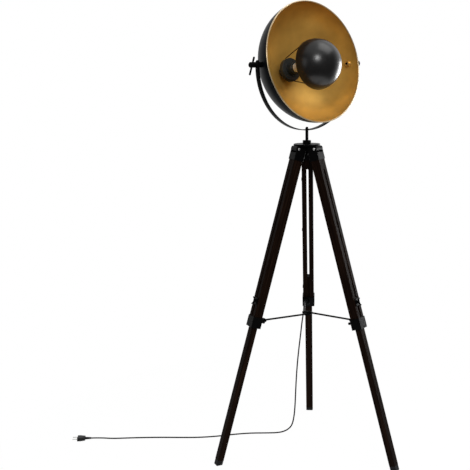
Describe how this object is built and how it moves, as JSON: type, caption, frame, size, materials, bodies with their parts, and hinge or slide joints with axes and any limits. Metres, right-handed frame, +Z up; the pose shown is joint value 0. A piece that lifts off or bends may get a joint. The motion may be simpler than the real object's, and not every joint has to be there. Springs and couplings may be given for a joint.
{
  "type": "tripod floor lamp",
  "caption": "Floor lamp with a dish shade on a tilting yoke, a domed glare cap, and a folding wooden tripod with sliding lower legs and a rod spreader.",
  "frame": {"origin": "on the floor under the stem, level with the soles of the feet", "axes": "+Z up along the stem, +Y towards the back leg, +X to the right as the lamp is seen from the front"},
  "size_m": [1.1951, 0.5538, 1.5766],
  "materials": {
    "dark_wood": "stained nearly black, satin, faint grain",
    "black_steel": "black satin enamel",
    "shade_paint": "gloss black outside, satin gold inside",
    "zinc_steel": "zinc plated",
    "brass_nuts": "polished",
    "black_plastic": "matte black",
    "cord_sheath": "matte black sheath",
    "rubber_feet": "matte black",
    "bulb_glass": "frosted white"
  },
  "bodies": {
    "head": {"head_casting": "black_steel", "hinge_bolts": "zinc_steel", "stem": "black_steel", "swivel_cap_nut": "black_steel", "cord": "cord_sheath", "plug": "black_plastic", "plug_pins": "zinc_steel"},
    "yoke": {"yoke": "black_steel"},
    "shade": {"shade_bowl": "shade_paint", "pivot_spacers": "black_steel", "pivot_nuts": "brass_nuts", "lampholder": "black_plastic", "holder_ring": "black_steel", "bulb_cap": "zinc_steel", "bulb_glass": "bulb_glass", "glare_cap": "shade_paint", "cap_rods": "black_steel", "rear_gland": "black_steel"},
    "tilt_handle_left": {"tilt_handle_left": "black_steel"},
    "tilt_handle_right": {"tilt_handle_right": "black_steel"},
    "hub": {"spreader_hub": "black_steel"},
    "leg_back": {"leg_back_rail_a": "dark_wood", "leg_back_rail_b": "dark_wood", "leg_back_top_block": "dark_wood", "leg_back_bracket": "black_steel", "leg_back_clamp": "black_steel", "leg_back_clamp_bolts": "black_steel", "leg_lead": "cord_sheath", "lead_relief": "black_plastic", "lead_clips": "black_plastic"},
    "lower_back": {"lower_leg_back": "dark_wood", "lower_leg_back_guide": "black_steel", "foot_back": "rubber_feet", "wing_plate_back": "black_steel"},
    "wing_back": {"wing_screw_back": "black_steel"},
    "rod_back": {"spreader_rod_back": "black_steel"},
    "leg_left": {"leg_left_rail_a": "dark_wood", "leg_left_rail_b": "dark_wood", "leg_left_top_block": "dark_wood", "leg_left_bracket": "black_steel", "leg_left_clamp": "black_steel", "leg_left_clamp_bolts": "black_steel"},
    "lower_left": {"lower_leg_left": "dark_wood", "lower_leg_left_guide": "black_steel", "foot_left": "rubber_feet", "wing_plate_left": "black_steel"},
    "wing_left": {"wing_screw_left": "black_steel"},
    "rod_left": {"spreader_rod_left": "black_steel"},
    "leg_right": {"leg_right_rail_a": "dark_wood", "leg_right_rail_b": "dark_wood", "leg_right_top_block": "dark_wood", "leg_right_bracket": "black_steel", "leg_right_clamp": "black_steel", "leg_right_clamp_bolts": "black_steel"},
    "lower_right": {"lower_leg_right": "dark_wood", "lower_leg_right_guide": "black_steel", "foot_right": "rubber_feet", "wing_plate_right": "black_steel"},
    "wing_right": {"wing_screw_right": "black_steel"},
    "rod_right": {"spreader_rod_right": "black_steel"}
  },
  "joints": [
    {"name": "yoke_swivel", "type": "hinge", "parent": "head", "child": "yoke", "pos_m": [0, 0, 1.1485], "axis": [0, 0, 1], "range_deg": [-170, 170]},
    {"name": "shade_tilt", "type": "hinge", "parent": "yoke", "child": "shade", "pos_m": [0, 0, 1.368], "axis": [0.7218, 0.6921, 0], "range_deg": [-78, 102]},
    {"name": "tilt_handle_left_turn", "type": "hinge", "parent": "yoke", "child": "tilt_handle_left", "pos_m": [-0.16601, -0.15919, 1.368], "axis": [-0.7218, -0.6921, 0], "continuous": true},
    {"name": "tilt_handle_right_turn", "type": "hinge", "parent": "yoke", "child": "tilt_handle_right", "pos_m": [0.16601, 0.15919, 1.368], "axis": [0.7218, 0.6921, 0], "continuous": true},
    {"name": "leg_back_fold", "type": "hinge", "parent": "head", "child": "leg_back", "pos_m": [0, 0.0417, 1.086], "axis": [-1, 0, 0], "range_deg": [0, 15.2]},
    {"name": "rod_back_swing", "type": "hinge", "parent": "leg_back", "child": "rod_back", "pos_m": [0, 0.17304, 0.502], "axis": [-1, 0, 0], "range_deg": [0, 73]},
    {"name": "lower_back_slide", "type": "slide", "parent": "leg_back", "child": "lower_back", "axis": [0, -0.2828, 0.9592], "range_m": [-0.04, 0.4]},
    {"name": "wing_back_turn", "type": "hinge", "parent": "lower_back", "child": "wing_back", "pos_m": [0, 0.19387, 0.56997], "axis": [0, 0.9592, 0.2828], "continuous": true},
    {"name": "leg_left_fold", "type": "hinge", "parent": "head", "child": "leg_left", "pos_m": [-0.03611, -0.02085, 1.086], "axis": [0.5, -0.866, 0], "range_deg": [0, 15.2]},
    {"name": "rod_left_swing", "type": "hinge", "parent": "leg_left", "child": "rod_left", "pos_m": [-0.14986, -0.08652, 0.502], "axis": [0.5, -0.866, 0], "range_deg": [0, 73]},
    {"name": "lower_left_slide", "type": "slide", "parent": "leg_left", "child": "lower_left", "axis": [0.2449, 0.1414, 0.9592], "range_m": [-0.04, 0.4]},
    {"name": "wing_left_turn", "type": "hinge", "parent": "lower_left", "child": "wing_left", "pos_m": [-0.1679, -0.09693, 0.56997], "axis": [-0.8307, -0.4796, 0.2828], "continuous": true},
    {"name": "leg_right_fold", "type": "hinge", "parent": "head", "child": "leg_right", "pos_m": [0.03611, -0.02085, 1.086], "axis": [0.5, 0.866, 0], "range_deg": [0, 15.2]},
    {"name": "rod_right_swing", "type": "hinge", "parent": "leg_right", "child": "rod_right", "pos_m": [0.14986, -0.08652, 0.502], "axis": [0.5, 0.866, 0], "range_deg": [0, 73]},
    {"name": "lower_right_slide", "type": "slide", "parent": "leg_right", "child": "lower_right", "axis": [-0.2449, 0.1414, 0.9592], "range_m": [-0.04, 0.4]},
    {"name": "wing_right_turn", "type": "hinge", "parent": "lower_right", "child": "wing_right", "pos_m": [0.1679, -0.09693, 0.56997], "axis": [0.8307, -0.4796, 0.2828], "continuous": true},
    {"name": "hub_rise", "type": "slide", "parent": "head", "child": "hub", "axis": [0, 0, 1], "range_m": [0, 0.1505]}
  ],
  "couplings": [
    {"joint": "rod_back_swing", "follows": "leg_back_fold", "ratio": 4.776},
    {"joint": "leg_left_fold", "follows": "leg_back_fold", "ratio": 1},
    {"joint": "rod_left_swing", "follows": "leg_back_fold", "ratio": 4.776},
    {"joint": "leg_right_fold", "follows": "leg_back_fold", "ratio": 1},
    {"joint": "rod_right_swing", "follows": "leg_back_fold", "ratio": 4.776},
    {"joint": "hub_rise", "follows": "leg_back_fold", "m_per_rad": 0.5654}
  ]
}
